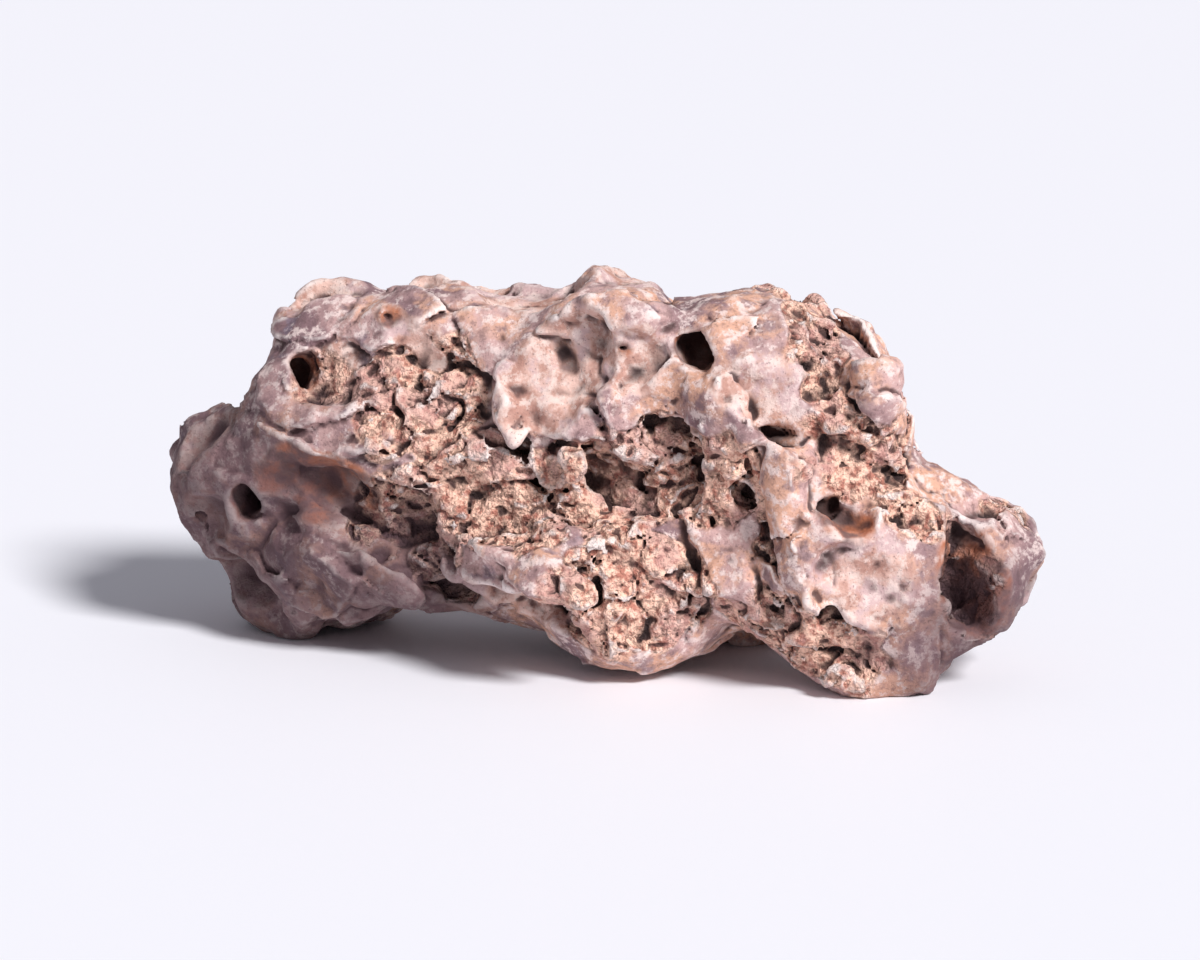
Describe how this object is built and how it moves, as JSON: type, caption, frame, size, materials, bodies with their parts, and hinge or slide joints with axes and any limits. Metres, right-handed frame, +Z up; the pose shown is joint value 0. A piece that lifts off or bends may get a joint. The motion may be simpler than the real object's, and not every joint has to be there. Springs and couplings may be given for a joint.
{
  "type": "dragon stone",
  "caption": "Natural dragon stone: a weathered lump of hard clay with deep hollows, sharp lips and crumbly bands, lying on worn feet.",
  "frame": {"origin": "on the flat surface that the stone lies on, under the middle of its box", "axes": "+Z up; X along the stone, from its tall blunt head at -X to its low nose at +X; -Y is the most pitted side"},
  "size_m": [0.16, 0.0788, 0.0708],
  "materials": {
    "stone": "dry matte weathered clay, tan and grey"
  },
  "bodies": {
    "root": {"stone": "stone"}
  },
  "joints": []
}
